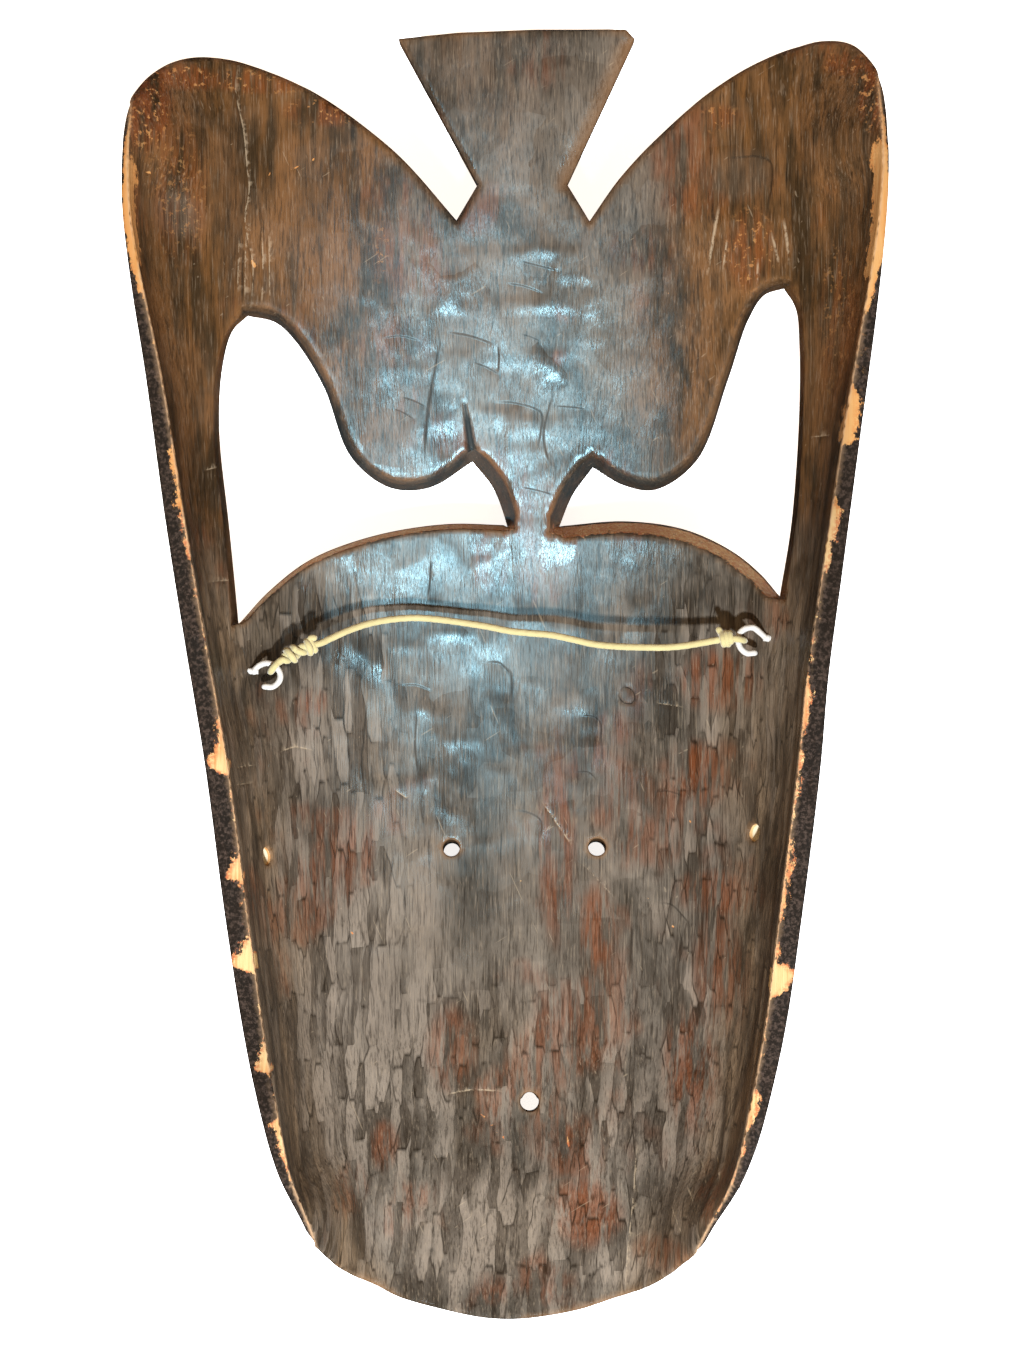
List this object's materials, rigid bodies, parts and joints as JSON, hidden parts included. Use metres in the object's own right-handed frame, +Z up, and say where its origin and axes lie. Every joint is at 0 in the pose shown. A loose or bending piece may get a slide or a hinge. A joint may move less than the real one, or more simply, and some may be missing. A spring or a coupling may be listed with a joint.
{
  "type": "carved wooden mask",
  "caption": "Hollow-backed carved wooden face mask with a pierced winged crest, shown lying face down, with a hanging cord on wire hooks.",
  "frame": {"origin": "on the surface that the mask lies on, under the middle of its outline", "axes": "+X to the right seen from the back, +Y from the chin to the crest, +Z up, out of the hollow back"},
  "size_m": [0.358, 0.6281, 0.125],
  "materials": {
    "wood": "dark stained and waxed, worn to bare wood along the rim",
    "hook": "white vinyl coat over steel wire",
    "cord": "smooth cream cord"
  },
  "bodies": {
    "root": {"carved_mask": "wood", "cup_hook_left": "hook", "cup_hook_right": "hook", "hanging_cord": "cord", "knot_left": "cord", "knot_right": "cord"}
  },
  "joints": []
}
